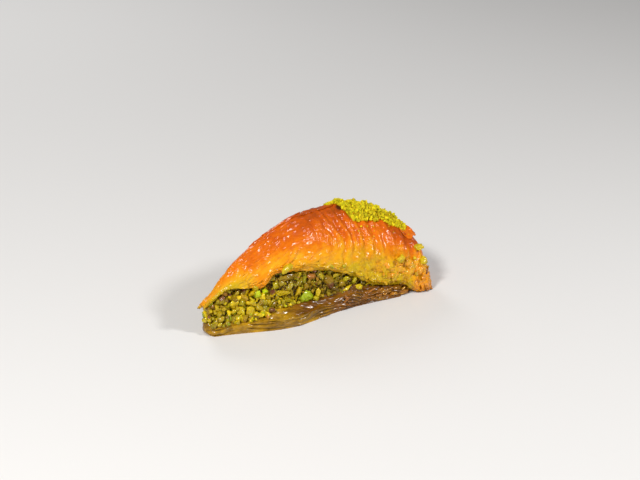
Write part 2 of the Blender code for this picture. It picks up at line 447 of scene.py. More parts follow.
def crustDetail(share, across, point, s, t):
    # fine wrinkles, pleats, blisters and crumbs on top of the folds; s and t run along and down the surface
    pleated = ramp(share, 0.46, 0.64)
    wall = ramp(share, 0.96, 1.0)
    patchy = ramp(lumps(point, 8 * mm, 21.0), -0.25, 0.35)
    warp = 1.8 * mm * lumps(point, 9 * mm, 22.0)
    strokes = creases(Vector((s * 0.22, t + warp, 0.0)), 2.4 * mm, 11.0)
    strokes += 0.5 * creases(Vector((s * 0.35, t + warp, 0.0)), 1.2 * mm, 12.0)
    downStrokes = creases(Vector((s + warp, t * 0.30, 0.0)), 2.0 * mm, 13.0)
    downStrokes += 0.6 * creases(Vector((s, t * 0.50, 0.0)), 1.3 * mm, 14.0)
    rungs = creases(Vector((s * 0.55, t, 0.0)), 1.7 * mm, 25.0)
    wrinkles = strokes * (1 - pleated) + (0.6 * downStrokes + 0.7 * rungs) * pleated
    drift = 3.4 * mm * lumps(point, 10 * mm, 15.0)
    bands = math.sin(2 * math.pi * (s + drift) / crust["pleatWidth"]) * pleated * (1 - wall)
    bands += 0.8 * math.sin(2 * math.pi * (point.y + drift) / crust["pleatWidth"]) * wall
    bands *= 0.25 + 0.75 * ramp(lumps(point, 8 * mm, 24.0), -0.3, 0.3)
    crumbly = max(
        ramp(share, 0.62, 0.76) * ramp(-across, 0.58, 0.86),
        ramp(share, 0.68, 0.84) * ramp(across, 0.62, 0.90),
        0.12 * wall,
    )
    crumbs = lumps(point, 3.0 * mm, 16.0) + 0.6 * lumps(point, 1.4 * mm, 17.0)
    pits = ramp(-lumps(point, 2.8 * mm, 18.0), 0.26, 0.46)
    depth = crust["wrinkleDepth"] * wrinkles * (0.25 + 0.75 * patchy) * (1 - 0.6 * crumbly)
    depth += crust["pleatDepth"] * bands * (1 - crumbly)
    depth += (0.30 * lumps(point, 3.2 * mm, 19.0) + 0.14 * lumps(point, 1.6 * mm, 20.0)) * mm * (1 - crumbly)
    depth += crust["crumbDepth"] * crumbly * (crumbs - 0.9 * pits)
    return depth, bands, pits * crumbly, wrinkles, crumbly


def crustBrowning(share, across, point, bands, wrinkles):
    crestness = ramp(1 - abs(across), 0.14, 0.86)
    brown = 0.20 + 0.55 * crestness * (0.55 + 0.45 * ramp(share, 0.10, 0.50))
    brown += 0.04 * hump(share, 0.57, 0.07) * hump(across, 0.0, 0.25)
    brown += 0.30 * hump(share, 0.905, 0.045) * hump(across, -0.42, 0.22)
    brown += 0.14 * ramp(share, 0.84, 0.97) * (1 - ramp(abs(across), 0.5, 0.9))
    brown -= 0.46 * ramp(share, 0.90, 0.98) * (1 - ramp(point.z, 4 * mm, 36 * mm))
    # paler towards the tip: partly a yellower bake, partly painted light that lifts the tip's shading
    brown -= 0.24 * ramp(0.22 - share, 0.0, 0.16)
    brown += 0.14 * lumps(point, 9 * mm, 31.0) + 0.07 * lumps(point, 3.5 * mm, 32.0)
    # painted light and shade: pleat tops are made paler and pleat valleys browner
    brown -= 0.12 * bands
    brown += 0.04 * wrinkles
    brown = min(brown, 0.76) + 0.70 * hump(share, 0.672, 0.012) * hump(across, -0.12, 0.05)
    return min(max(brown, 0.0), 1.0)


def crustSoaking(share, across, point):
    front = ramp(-across, 0.52, 0.84) * hump(share, 0.75, 0.15)
    back = ramp(across, 0.62, 0.90) * hump(share, 0.75, 0.15)
    edges = 0.80 * ramp(abs(across), 0.80, 0.96) * ramp(share, 0.30, 0.42)
    tip = 0.45 * ramp(0.12 - share, 0.0, 0.10) + 0.9 * ramp(0.24 - share, 0.0, 0.10) * ramp(-across, 0.45, 0.8)
    uneven = 0.75 + 0.6 * lumps(point, 5 * mm, 33.0)
    return min(max((front + back + edges + tip) * uneven, 0.0), 1.0)


def makeCrustLeaf(name, cells, inset, drop, seed, material, detail):
    # one baked leaf: a grid laid over the crust's surface, inset below it, its cut edges hanging by drop
    bm = bmesh.new()
    bmesh.ops.create_grid(bm, x_segments=cells[0], y_segments=cells[1], size=0.5)
    browning = bm.verts.layers.float.new("browning")
    soaking = bm.verts.layers.float.new("soaking")
    pleats = bm.verts.layers.float.new("pleats")
    crumbly = bm.verts.layers.float.new("crumbly")
    columns = {}
    places = {}
    for vertex in bm.verts:
        along = vertex.co.x + 0.5
        across = 2 * vertex.co.y * 0.999
        key = round(along * cells[0])
        if key not in columns:
            columns[key] = crustColumn(along)
        places[vertex] = (along, across, columns[key])
        vertex.co = crustPoint(columns[key], across)
    bm.normal_update()
    if sum(vertex.normal.z for vertex in bm.verts) < 0:
        bmesh.ops.reverse_faces(bm, faces=bm.faces)
        bm.normal_update()
    for vertex in bm.verts:
        along, across, column = places[vertex]
        point = vertex.co.copy()
        share = column["share"]
        edge = column["front"] if across < 0 else column["back"]
        s = along * sliceForm["crestLength"]
        t = across * 1.12 * math.hypot(column["width"], column["crest"] - edge)
        depth, bands, pits, wrinkles, crumbs = crustDetail(share, across, point, s, t)
        near = ramp(abs(across), 0.72, 1.0)
        flutter = lumps(Vector((s, seed, across)), 6 * mm, seed) + 0.5 * lumps(Vector((s, seed, 0)), 2 * mm, seed)
        rise = crustFolds(share, across, point) * ramp(1 - abs(across), 0.0, 0.15)
        rise -= inset * (0.5 + 0.5 * ramp(share, 0.02, 0.25))
        rise += depth * detail + 0.7 * mm * flutter * near * ramp(abs(across), 0.85, 1.0)
        vertex.co = point + vertex.normal * rise
        low = ramp(share, 0.90, 0.94) * near
        ribs = creases(Vector((point.x - point.y, t * 0.10, seed)), 2.0 * mm, 23.0)
        vertex.co += vertex.normal * (0.60 * ribs - 0.30) * mm * low
        ragged = lumps(Vector((s, across, seed)), 4 * mm, seed + 5) + 0.7 * lumps(Vector((s, 0, seed)), 1.3 * mm, seed)
        foot = ramp(share, 0.985, 1.0)
        hanging = drop * (1 - foot) * (1 - low) * ramp(share, 0.10, 0.32)
        hanging += 0.8 * mm * ragged * (1 - 0.6 * foot)
        vertex.co.z = max(vertex.co.z - hanging * near, 0.45 * mm)
        # the pits in the crumbly zone are darkened with painted shade
        vertex[browning] = crustBrowning(share, across, point, bands, wrinkles) + 0.35 * pits + 0.28 * low
        vertex[soaking] = crustSoaking(share, across, point) * (1 - 0.8 * low)
        vertex[pleats] = ramp(share, 0.40, 0.60)
        vertex[crumbly] = 0.75 * crumbs
    piece = addPiece(bm, name, material)
    addThickness(piece, crust["leafThickness"])
    return piece


def addFlake(bm, along, across, halfAlong, halfAcross, lift, seed, marks):
    # a torn scrap of leaf lying on the crust, lifted at its rim
    part = bmesh.new()
    bmesh.ops.create_grid(part, x_segments=24, y_segments=16, size=1.0)
    layers = [part.verts.layers.float.new(mark) for mark in ("browning", "soaking")]
    for vertex in part.verts:
        u, v = vertex.co.x, vertex.co.y
        x, y = u * math.sqrt(1 - v * v / 2), v * math.sqrt(1 - u * u / 2)
        radius = min(math.hypot(x, y), 1.0)
        turn = math.atan2(y, x)
        torn = 1 + 0.35 * lumps(Vector((math.cos(turn), math.sin(turn), 0)), 0.55, seed)
        column = crustColumn(min(along + halfAlong * x * torn, 0.995))
        side = min(max(across + halfAcross * y * torn, -0.995), 0.995)
        place = crustPoint(column, side)
        normal = crustNormal(min(along + halfAlong * x * torn, 0.985), side)
        fold = crustFolds(column["share"], side, place)
        wave = 0.35 * mm * lumps(place, 3 * mm, seed) + 0.15 * mm * creases(place, 2 * mm, seed + 1)
        base = (0.40 + 0.20 * ramp(column["share"], 0.8, 0.9)) * mm
        vertex.co = place + normal * (fold + base + wave + lift * radius**3 * ramp(x, -0.3, 1.0))
        vertex[layers[0]] = crustBrowning(column["share"], side, place, 0.0, 0.0) + marks[0]
        vertex[layers[1]] = max(crustSoaking(column["share"], side, place), marks[1])
    part.normal_update()
    if sum(vertex.normal.z for vertex in part.verts) < 0:
        bmesh.ops.reverse_faces(part, faces=part.faces)
    scrap = bpy.data.meshes.new("scrap")
    part.to_mesh(scrap)
    part.free()
    bm.from_mesh(scrap)
    bpy.data.meshes.remove(scrap)


def makeFlakes(material):
    # along, across, half length, half width, lift in mm, more browning, least soaking
    placed = (
        (0.480, 0.10, 0.085, 0.20, 0.4, 0.02, 0.0),
        (0.360, 0.16, 0.070, 0.22, 0.3, 0.00, 0.0),
        (0.125, -0.90, 0.045, 0.24, 1.2, 0.02, 0.5),
        (0.795, -0.25, 0.028, 0.15, 1.9, -0.30, 0.0),
        (0.860, 0.35, 0.035, 0.20, 0.9, 0.0, 0.0),
    )
    bm = bmesh.new()
    for k, (along, across, halfAlong, halfAcross, lift, browner, wetter) in enumerate(placed):
        addFlake(bm, along, across, halfAlong, halfAcross, lift * mm, 70.0 + 3 * k, (browner, wetter))
    piece = addPiece(bm, "crustFlakes", material)
    addThickness(piece, 0.35 * mm)


def makeCrust():
    material = makeCrustMaterial()
    outer = makeCrustLeaf("crustOuterLeaf", crust["cells"], 0.0, 0.0, 2.0, material, 1.0)
    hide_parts("top_crust")
    for k, (inset, drop) in enumerate(crust["innerLeaves"]):
        name = f"crustInnerLeaf{k + 1}"
        makeCrustLeaf(name, crust["innerCells"], inset * mm, drop * mm, 7.0 + 3 * k, material, 0.2)
    makeFlakes(material)


# The bottom leaves, pressed together and soaked.
bottom = {
    "columns": 360,
    "leafHeight": 2.7 * mm,
    "ledgeWidth": 3.0 * mm,
    "endRounding": 3.0 * mm,
    "shellShare": 0.63,
    "amber": (0.30, 0.150, 0.003),
    "paleAmber": (0.50, 0.27, 0.006),
    "darkAmber": (0.11, 0.050, 0.002),
    "brown": (0.215, 0.078, 0.002),
    "darkBrown": (0.045, 0.014, 0.001),
    "rimGold": (0.50, 0.21, 0.005),
}


def makeBottomMaterial():
    material, tree, shader = newMaterial("soakedLeaves", 0.35, 0.65, 0.13, 0.05)
    patches = mottle(tree, 6.0, 0.35, 0.65, 0.6)
    amber = mixColours(tree, patches, bottom["amber"], bottom["paleAmber"])
    # painted shade: the grooves between the leaves are darkened, in the amber part and the browned part alike
    grooved = mixColours(tree, attribute(tree, "grooveShade"), amber, bottom["darkAmber"])
    brown = mixColours(tree, attribute(tree, "grooveShade"), bottom["brown"], bottom["darkBrown"])
    browned = mixColours(tree, attribute(tree, "browning"), grooved, brown)
    stains = addNode(tree, "ShaderNodeMath", {1: 0.62}, operation="MULTIPLY")
    tree.links.new(mottle(tree, 2.4, 0.42, 0.66, 0.40), stains.inputs[0])
    stain = mixColours(tree, attribute(tree, "browning"), bottom["darkAmber"], bottom["darkBrown"])
    stained = mixColours(tree, stains.outputs[0], browned, stain)
    rim = mixColours(tree, attribute(tree, "gilding"), stained, bottom["rimGold"])
    tree.links.new(rim, shader.inputs["Base Color"])
    drier = addNode(tree, "ShaderNodeMath", {1: -0.34, 2: 0.65}, operation="MULTIPLY_ADD")
    tree.links.new(attribute(tree, "browning"), drier.inputs[0])
    tree.links.new(drier.outputs[0], shader.inputs["Coat Weight"])
    addBump(tree, shader, mottle(tree, 3.2, 0.2, 0.8, 0.45, 1.5), 0.40 * mm, 0.8)
    return material


def leafPattern(x, height, side, arcs):
    # outward relief of the pressed leaves' edges and how deep in a groove a place is; the groove depth also sets
    # painted shade in the grooves
    drift = 2.0 * lumps(Vector((x * 0.35, side, height)), 6 * mm, 41.0)
    straight = height / bottom["leafHeight"] + drift
    centre = Vector((bottom["shellShare"] * sliceForm["length"], -2.0 * mm))
    arc = (Vector((x, height)) - centre).length / bottom["leafHeight"] * 1.6
    phase = straight + (arc - straight) * arcs
    leaf = math.floor(phase)
    within = phase - leaf
    reach = lumps(Vector((x * 0.55, leaf * 7 * mm, side)), 7 * mm, 42.0)
    broken = ramp(lumps(Vector((x * 0.6, leaf * 9 * mm, side)), 6 * mm, 46.0), -0.20, 0.40)
    groove = (1 - math.sin(math.pi * within)) ** 2 * (broken + (1 - broken) * arcs)
    soft = 1.1 * mm * lumps(Vector((x * 0.7, side, height)), 4.5 * mm, 43.0)
    soft += 0.35 * mm * lumps(Vector((x * 0.6, side, height)), 1.8 * mm, 48.0)
    roll = (0.9 * math.sin(math.pi * within) - 0.6) * (0.35 + 0.65 * broken)
    return (0.8 * reach + roll - 0.3 * groove) * mm + soft, groove


def bottomPlace(share, kind, t):
    # a place on the bottom leaves' skin: front and back cuts, the lips beside the filling, the middle and the base
    front, back = bottomHalfWidth(share, -1), bottomHalfWidth(share, 1)
    frontFoot = front - fillingRecess(share, -1) - 3 * mm
    backFoot = back - fillingRecess(share, 1) - 2 * mm
    spans = {
        "front": (-front, -front),
        "frontLip": (-front, -frontFoot),
        "middle": (-frontFoot, backFoot),
        "backLip": (backFoot, back),
        "back": (back, back),
        "under": (back, -front),
    }
    start, end = spans[kind]
    y = start + (end - start) * t
    x = share * sliceForm["length"]
    fold = hump(share, 0.65, 0.05)
    top = bottomHeight(share, y) + 2.6 * mm * fold * ramp(-y, frontFoot - 2 * mm, frontFoot + 3 * mm)
    side = -1 if y < 0 else 1
    arcs = ramp(fold, 0.35, 0.75) * (side < 0)
    groove = 0.0
    z = 0.0
    if kind in ("front", "back"):
        z = top * (t if kind == "front" else 1 - t)
        relief, groove = leafPattern(x, z, side, arcs)
        foot = ramp(z, 0.0, 0.8 * mm)
        y += side * (relief * foot + 0.9 * mm * fold * (side < 0) * math.sin(math.pi * min(z / top, 1.0)))
    elif kind in ("frontLip", "backLip"):
        inward = back - y if kind == "backLip" else front + y
        drift = 1.8 * lumps(Vector((x * 0.20, y, side)), 6 * mm, 44.0)
        phase = inward / bottom["ledgeWidth"] + drift
        within = phase - math.floor(phase)
        ledge = ramp(within, 0.0, 0.35) - within
        fade = ramp(inward, 0.0, 1.2 * mm)
        crumple = 0.35 * lumps(Vector((x * 0.25, y, 0)), 1.8 * mm, 45.0) + 0.42 * lumps(Vector((x, y, 0)), 3.2 * mm, 50.0)
        crumple += 0.30 * creases(Vector((x * 0.22, y + 0.3 * x, 0)), 1.6 * mm, 52.0)
        z = top + fade * (0.45 * mm * ledge + crumple * mm)
        if side < 0:
            sway = 2.5 * lumps(Vector((x, y, 0)), 5 * mm, 49.0)
            z += 0.40 * mm * fade * ramp(fold, 0.1, 0.6) * math.sin((x + 0.6 * y) / (0.42 * mm) + sway)
        # painted shade at the inner foot of each ledge
        groove = fade * (1 - ramp(within, 0.05, 0.45)) * 0.5
    elif kind == "middle":
        z = top - 0.3 * mm
    return x, y, z, groove


def makeBottom():
    rows = [("front", k / 34) for k in range(34)]
    rows += [("frontLip", k / 44) for k in range(44)]
    rows += [("middle", k / 8) for k in range(8)]
    rows += [("backLip", k / 26) for k in range(26)]
    rows += [("back", k / 34) for k in range(34)]
    rows += [("under", k / 8) for k in range(8)]
    bm = bmesh.new()
    bmesh.ops.create_grid(bm, x_segments=bottom["columns"], y_segments=len(rows), size=0.5)
    grooveShade = bm.verts.layers.float.new("grooveShade")
    browning = bm.verts.layers.float.new("browning")
    gilding = bm.verts.layers.float.new("gilding")
    for vertex in bm.verts:
        share = vertex.co.x + 0.5
        kind, t = rows[round((vertex.co.y + 0.5) * len(rows)) % len(rows)]
        x, y, z, groove = bottomPlace(share, kind, t)
        fromEnd = min(share, 1 - share) * sliceForm["length"] / bottom["endRounding"]
        closing = math.sqrt(max(1 - (1 - min(fromEnd, 1.0)) ** 2, 0.0))
        middle = through(sliceForm["bottomRows"], 1, share) * mm * 0.4
        y *= closing
        z = middle + (z - middle) * closing
        across = y / bottomHalfWidth(share, y)
        vertex.co = Vector((bottomX(share * 0.985, across), y, max(z, 0.0)))
        # the front lip under the filling browns sooner: partly browner leaves, partly painted shade cast by the
        # filling
        first = 0.28 if kind == "frontLip" else 0.42
        brown = ramp(share, first, first + 0.12) * (1 - 0.5 * ramp(share, 0.86, 0.96))
        # painted shade in the grooves, stronger where the leaves are browned
        vertex[grooveShade] = groove * (0.35 + 0.65 * brown)
        vertex[browning] = min(max(brown + 0.4 * lumps(vertex.co, 5 * mm, 47.0), 0.0), 1.0)
        vertex[gilding] = 0.8 * ramp(share, 0.88, 0.95)
    bmesh.ops.remove_doubles(bm, verts=bm.verts, dist=0.01 * mm)
    bmesh.ops.recalc_face_normals(bm, faces=bm.faces)
    piece = addPiece(bm, "bottomLeaves", makeBottomMaterial())
    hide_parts("bottom_leaves")


# Browned scraps of leaf between the crust's lower edge and the bottom.
shards = {
    "count": (46, 30),
    "scraps": (44, 32),
    "shreds": (26, 22),
    "footShards": 16,
    "seed": 41,
    "gold": (0.56, 0.26, 0.005),
    "rust": (0.40, 0.12, 0.004),
}


def addShard(bm, place, side, chance, colour):
    length, width = chance.uniform(2.5, 7.5) * mm, chance.uniform(1.0, 2.4) * mm
    bend, twist = chance.uniform(-0.5, 0.9), chance.uniform(-0.5, 0.5)
    lean = chance.uniform(-0.5, 0.3)
    seed = chance.uniform(0, 90)
    part = bmesh.new()
    bmesh.ops.create_grid(part, x_segments=14, y_segments=5, size=1.0)
    for vertex in part.verts:
        u, v = vertex.co.x, vertex.co.y
        taper = 1 - 0.7 * u * u + 0.5 * lumps(Vector((u, v, seed)), 0.4, seed)
        x = u * length / 2
        z = v * taper * width / 2 + lean * u * u * width
        out = bend * (1 - u * u) * 0.9 * mm + 0.35 * mm * math.cos(v * 2.4) + 0.3 * mm * lumps(Vector((x, z, 0)), 1.2 * mm, seed)
        vertex.co = Vector((x, side * out, z))
    bmesh.ops.rotate(part, verts=part.verts, matrix=Euler((side * chance.uniform(-0.9, 0.3), twist, 0)).to_matrix())
    bmesh.ops.translate(part, verts=part.verts, vec=place)
    joinTinted(bm, part, colour)


def joinTinted(bm, part, colour):
    scrap = bpy.data.meshes.new("scrap")
    part.to_mesh(scrap)
    part.free()
    tint = scrap.attributes.new("tint", "FLOAT_COLOR", "POINT")
    tint.data.foreach_set("color", (*colour, 1.0) * len(scrap.vertices))
    bm.from_mesh(scrap)
    bpy.data.meshes.remove(scrap)


def addScrap(bm, along, across, length, width, turn, lift, chance, colour):
    # a torn scrap that follows the crust's surface, longest along turn
    seed = chance.uniform(0, 90)
    part = bmesh.new()
    bmesh.ops.create_grid(part, x_segments=9, y_segments=6, size=0.5)
    column = crustColumn(along)
    normal = crustNormal(along, across)
    down = Vector((0, 0, -1)) - normal * normal.dot(Vector((0, 0, -1)))
    down.normalize()
    aside = normal.cross(down)
    first = down * math.cos(turn) + aside * math.sin(turn)
    second = normal.cross(first)
    middle = crustPoint(column, across) + normal * crustFolds(column["share"], across, crustPoint(column, across))
    for vertex in part.verts:
        u, v = 2 * vertex.co.x, 2 * vertex.co.y
        torn = 1 - 0.60 * u * u + 0.9 * lumps(Vector((u, v, seed)), 0.6, seed)
        curl = lift * (0.25 + 0.75 * ramp(u, -0.2, 1.0)) + 0.25 * mm * math.cos(2.2 * v)
        place = middle + first * u * length / 2 + second * v * torn * width / 2
        vertex.co = place + normal * (curl + 0.35 * mm * lumps(place, 1.3 * mm, seed))
        vertex.co.z = max(vertex.co.z, 0.5 * mm)
    joinTinted(bm, part, colour)


def makeScrapMaterial(name, darker):
    material, tree, shader = newMaterial(name, 0.40, 0.9, 0.12, 0.05)
    tint = attribute(tree, "tint", "Color")
    uneven = mixColours(tree, mottle(tree, 2.0, 0.40, 0.70), tint, darker)
    tree.links.new(uneven, shader.inputs["Base Color"])
    addBump(tree, shader, mottle(tree, 1.6, 0.25, 0.75, 1.0, 2.0), 0.18 * mm, 0.6)
    return material


def makeShards():
    material = makeScrapMaterial("caramelisedLeaf", bottom["brown"])
    chance = random.Random(shards["seed"])
    bm = bmesh.new()
    for side, count in zip((-1, 1), shards["count"]):
        for k in range(count):
            share = chance.uniform(0.60, 0.93)
            full = bottomHalfWidth(share, side)
            top = bottomHeight(share, side * full)
            z = chance.uniform(0.20, 1.15) * top
            y = side * (full + chance.uniform(-0.6, 0.5) * mm - 1.2 * mm * ramp(z, 0.8 * top, 1.2 * top))
            place = Vector((bottomX(share, y / full), y, z + 0.6 * mm))
            colour = blendColours(bottom["brown"], shards["rust"], chance.random())
            colour = blendColours(colour, shards["gold"], chance.random() * ramp(share, 0.60, 0.90))
            addShard(bm, place, side, chance, colour)
        for k in range(shards["footShards"]):
            share = chance.uniform(0.87, 0.965)
            full = bottomHalfWidth(share, side)
            y = side * (full + (0.2 + chance.uniform(0.0, 2.3) * ramp(share, 0.87, 0.92)) * mm)
            place = Vector((bottomX(share, side), y, chance.uniform(1.2, 3.4) * mm))
            colour = blendColours(bottom["brown"], shards["rust"], chance.random())
            colour = blendColours(colour, shards["gold"], 0.6 * chance.random())
            addShard(bm, place, side, chance, colour)
    for vertex in bm.verts:
        vertex.co.z = max(vertex.co.z, 0.4 * mm)
    piece = addPiece(bm, "leafShards", material)
    addThickness(piece, 0.3 * mm)

    bm = bmesh.new()
    for side, count in zip((-1, 1), shards["scraps"]):
        for k in range(count):
            along = chance.uniform(0.68, 0.92)
            across = side * chance.uniform(0.80, 0.98)
            length, width = chance.uniform(2.6, 6.0) * mm, chance.uniform(1.8, 3.8) * mm
            colour = blendColours(crust["soaked"], crust["gold"], chance.random())
            colour = blendColours(colour, crust["amber"], 0.5 * chance.random() * ramp(along, 0.75, 0.90))
            turn = chance.uniform(0, 2 * math.pi)
            addScrap(bm, along, across, length, width, turn, chance.uniform(0.0, 0.4) * mm, chance, colour)
    for side, count in zip((-1, 1), shards["shreds"]):
        for k in range(count):
            along = chance.uniform(0.82, 0.93)
            across = side * chance.uniform(0.88, 0.995)
            length, width = chance.uniform(3.0, 7.0) * mm, chance.uniform(1.2, 2.6) * mm
            colour = blendColours(crust["gold"], shards["rust"], 0.8 * chance.random())
            turn = chance.uniform(-0.6, 0.6)
            addScrap(bm, along, across, length, width, turn, chance.uniform(0.05, 0.5) * mm, chance, colour)
    piece = addPiece(bm, "crustScraps", makeScrapMaterial("crustScrap", crust["gold"]))
    addThickness(piece, 0.3 * mm)


# Chopped nuts.
nuts = {
    "seed": 5,
    "green": (0.47, 0.39, 0.004),
    "brightGreen": (0.36, 0.48, 0.006),
    "yellowGreen": (0.66, 0.485, 0.004),
    "yellow": (0.78, 0.57, 0.012),
    "olive": (0.30, 0.185, 0.004),
    "paste": (0.17, 0.085, 0.004),
    "rust": (0.40, 0.14, 0.015),
    "skin": (0.16, 0.045, 0.030),
    # the dark paste colour, also used as painted shade on nuts set deep in the gaps
    "darkPasteAndShade": (0.075, 0.038, 0.003),
    "pasteLight": (0.30, 0.21, 0.006),
}


def makeChunks(count, rounds, seed, thickness=(0.50, 0.80), reaches=(0.10, 0.28)):
    # lumps flattened by a few planes, as a knife leaves them, each 1 long
    chance = random.Random(seed)
    shapes = []
    for k in range(count):
        bm = bmesh.new()
        bmesh.ops.create_icosphere(bm, subdivisions=rounds, radius=0.5)
        stretch = (1.0, chance.uniform(0.60, 0.92), chance.uniform(*thickness))
        bmesh.ops.scale(bm, vec=stretch, verts=bm.verts)
        for vertex in bm.verts:
            vertex.co *= 1 + 0.35 * lumps(vertex.co, 0.45, seed + k * 3.1)
        for cut in range(chance.randint(3, 6)):
            facing = Vector((chance.gauss(0, 1), chance.gauss(0, 1), chance.gauss(0, 1))).normalized()
            reach = chance.uniform(*reaches)
            for vertex in bm.verts:
                beyond = vertex.co.dot(facing) - reach
                if beyond > 0:
                    vertex.co -= facing * beyond * 0.92
        for vertex in bm.verts:
            vertex.co *= 1 + 0.24 * lumps(vertex.co, 0.22, seed + k * 1.7)
            if rounds > 2:
                vertex.co *= 1 + 0.10 * lumps(vertex.co, 0.10, seed + k * 2.3)
        middle = sum((vertex.co for vertex in bm.verts), Vector()) / len(bm.verts)
        bmesh.ops.translate(bm, vec=-middle, verts=bm.verts)
        reach = 2 * max(vertex.co.length for vertex in bm.verts)
        bmesh.ops.scale(bm, vec=Vector((1, 1, 1)) / reach, verts=bm.verts)
        shape = bpy.data.meshes.new(f"chunk{k}")
        bm.to_mesh(shape)
        bm.free()
        shape.attributes.new("tint", "FLOAT_COLOR", "POINT")
        shapes.append(shape)
    return shapes


def joinCopies(bm, placings, shapes, skin=None):
    # each placing is (shape number, place, turn, size, colour), and every seventh keeps skin on one end
    for k, (number, place, turn, size, colour) in enumerate(placings):
        copy = shapes[number].copy()
        tints = [(*colour, 1.0)] * len(copy.vertices)
        if skin and k % 7 == 3:
            tints = [(*skin, 1.0) if vertex.co.x > 0.12 else (*colour, 1.0) for vertex in copy.vertices]
        copy.attributes["tint"].data.foreach_set("color", [channel for tint in tints for channel in tint])
        copy.transform(Matrix.LocRotScale(place, turn, size))
        bm.from_mesh(copy)
        bpy.data.meshes.remove(copy)


def dropShapes(shapes):
    for shape in shapes:
        bpy.data.meshes.remove(shape)


def blendColours(first, second, share):
    return tuple(a + (b - a) * share for a, b in zip(first, second))


def makeNutMaterial():
    material, tree, shader = newMaterial("choppedPistachio", 0.45, 0.6, 0.10, 0.15)
    tint = attribute(tree, "tint", "Color")
    darker = mixColours(tree, 0.55, tint, nuts["olive"])
    uneven = mixColours(tree, mottle(tree, 1.4, 0.35, 0.75), tint, darker)
    tree.links.new(uneven, shader.inputs["Base Color"])
    addBump(tree, shader, mottle(tree, 1.6, 0.25, 0.75, 1.0, 2.0), 0.20 * mm, 0.7)
    return material


def makePasteMaterial():
    material, tree, shader = newMaterial("nutPaste", 0.50, 0.4, 0.12)
    colour = mixColours(tree, mottle(tree, 1.6, 0.40, 0.68), nuts["darkPasteAndShade"], nuts["pasteLight"])
    tree.links.new(colour, shader.inputs["Base Color"])
    addBump(tree, shader, mottle(tree, 0.8, 0.25, 0.75), 0.3 * mm, 0.8)
    return material


def makeFillingCore(material):
    def place(x, y, z):
        side = 2 * y - 1
        point = fillingPoint(x, side, z, 1.3 * mm)
        if abs(side) > 0.99 or x < 0.001:
            bulge = 1.3 * mm * lumps(point, 3.0 * mm, 51.0) + 0.7 * mm * lumps(point, 1.5 * mm, 52.0)
            if abs(side) > 0.99:
                point.y += math.copysign(bulge, side)
            else:
                point.x -= bulge
        return point

    core = addPiece(shapedBlock((150, 6, 30), place), "fillingCore", material)
    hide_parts("pistachio_filling")


def randomTurn(chance):
    return Euler([chance.uniform(0, 2 * math.pi) for axis in range(3)]).to_quaternion()


def matting(x, height):
    # how far the nuts are ground fine and stuck together, most in the lower middle of the cut
    return hump(x, 0.60, 0.13) * (1 - ramp(height, 0.40, 0.72))


def pickTint(chance, x, height, recessShade):
    # yellow-green towards the tip, darker and browner in the middle, and darkened with painted shade by how deep a nut
    # sits between the large pieces
    pasty = ramp(x, 0.25, 0.42) * (1 - 0.4 * ramp(height, 0.5, 0.9))
    roll = chance.random()
    if roll < 0.48 - 0.20 * pasty:
        colour = nuts["yellowGreen"]
    elif roll < 0.66 - 0.15 * pasty:
        colour = nuts["green"]
    elif roll < 0.74 - 0.10 * pasty:
        colour = nuts["brightGreen"]
    elif roll < 0.94 - 0.05 * pasty:
        colour = nuts["olive"]
    elif roll < 0.97:
        colour = nuts["rust"]
    else:
        colour = nuts["yellow"]
    colour = blendColours(colour, nuts["olive"], 0.40 * chance.random() + 0.25 * pasty)
    # painted shade: a nut set deeper is darkened towards the dark paste colour
    colour = blendColours(colour, nuts["darkPasteAndShade"], recessShade * chance.uniform(0.6, 1.0))
    colour = blendColours(colour, nuts["paste"], 0.55 * matting(x, height))
    shade = chance.uniform(0.54, 1.54) * (0.88 + 0.20 * ramp(x, 0.08, 0.20) - 0.30 * ramp(x, 0.44, 0.62))
    return tuple(channel * shade for channel in colour)


def scatterOnCut(chance, side, count, sizes, outward, spacing, shapeCount, recessShade, taken, last=1.0):
    # nuts on one cut face, kept off each other by the list of those already placed
    placings = []
    for attempt in range(count * 12):
        if len(placings) == count:
            break
        x = chance.uniform(0.0, last)
        height = chance.uniform(0.0, 1.02)
        size = chance.uniform(*sizes) * mm * (0.75 + 0.25 * ramp(x, 0.05, 0.35))
        if sizes[1] > 3.0 and chance.random() < 0.8 * matting(x, height):
            continue
        point = fillingPoint(x, side, height)
        if any((point - other).length < spacing * (size + otherSize) for other, otherSize in taken):
            continue
        taken.append((point, size))
        place = point + Vector((0, side * chance.uniform(*outward) * mm, 0))
        tint = pickTint(chance, x, height, recessShade)
        placings.append((chance.randrange(shapeCount), place, randomTurn(chance), Vector((size,) * 3), tint))
    return placings


